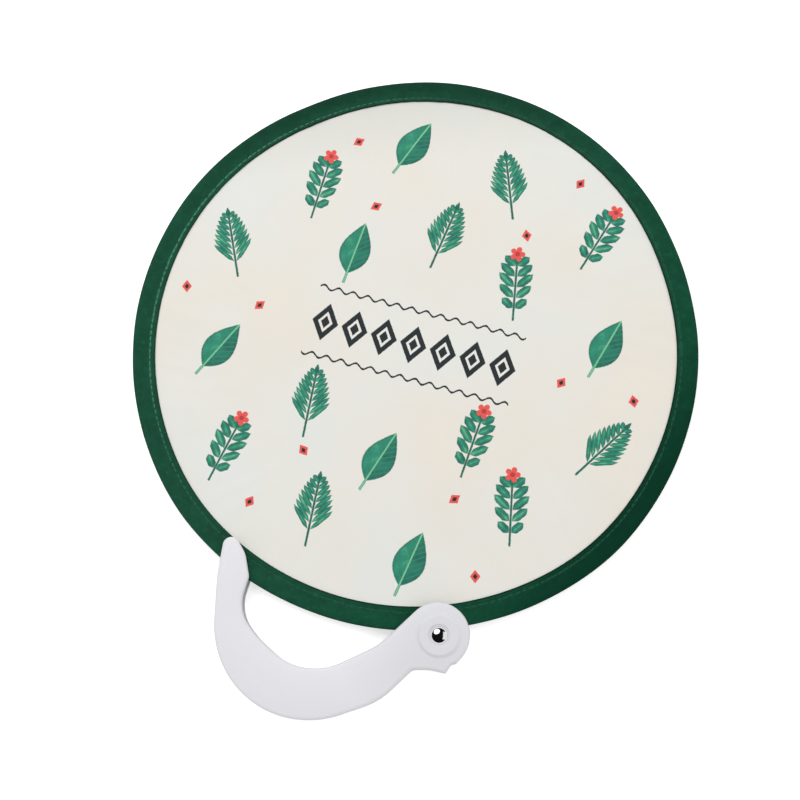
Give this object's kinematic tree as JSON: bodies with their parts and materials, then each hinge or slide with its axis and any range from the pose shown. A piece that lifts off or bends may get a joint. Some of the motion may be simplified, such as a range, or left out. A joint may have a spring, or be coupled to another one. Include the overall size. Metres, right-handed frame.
{
  "type": "hand fan",
  "caption": "Pop-up hand fan: a printed cloth disc on a sprung hoop, bound in green tape, with a white crescent handle that turns on a rivet at the rim.",
  "frame": {"origin": "below the middle of the fan's outline, on the plane that the handle's rear face rests on", "axes": "+Z out of the printed front, +Y from the handle's rivet to the far side of the disc, +X to the right seen from the front"},
  "size_m": [0.24, 0.2714, 0.0123],
  "materials": {
    "cloth_white": "matte woven polyester, printed",
    "tape_green": "matte ribbed binding tape",
    "stitch_green": "satin sewing thread",
    "handle_white": "satin moulded plastic",
    "hub_white": "matte moulded plastic",
    "washer_clear": "milky slip washer",
    "spring_steel": "rolled flat spring steel",
    "chrome": "mirror plating"
  },
  "bodies": {
    "fan_disc": {"fan_sheet": "cloth_white", "rim_binding": "tape_green", "spring_hoop": "spring_steel", "hoop_ferrule": "spring_steel", "seam_needle_thread": "stitch_green", "seam_bobbin_thread": "stitch_green", "hub_front_half": "hub_white", "hub_rear_half": "hub_white"},
    "handle": {"handle_front_shell": "handle_white", "handle_rear_shell": "handle_white", "rivet_front": "chrome", "rivet_rear": "chrome", "front_washer": "washer_clear", "rear_washer": "washer_clear"}
  },
  "joints": [
    {"name": "handle_pivot", "type": "hinge", "parent": "fan_disc", "child": "handle", "pos_m": [0, -0.10705, 0.0053], "axis": [0, 0, 1], "range_deg": [0, 90]}
  ]
}
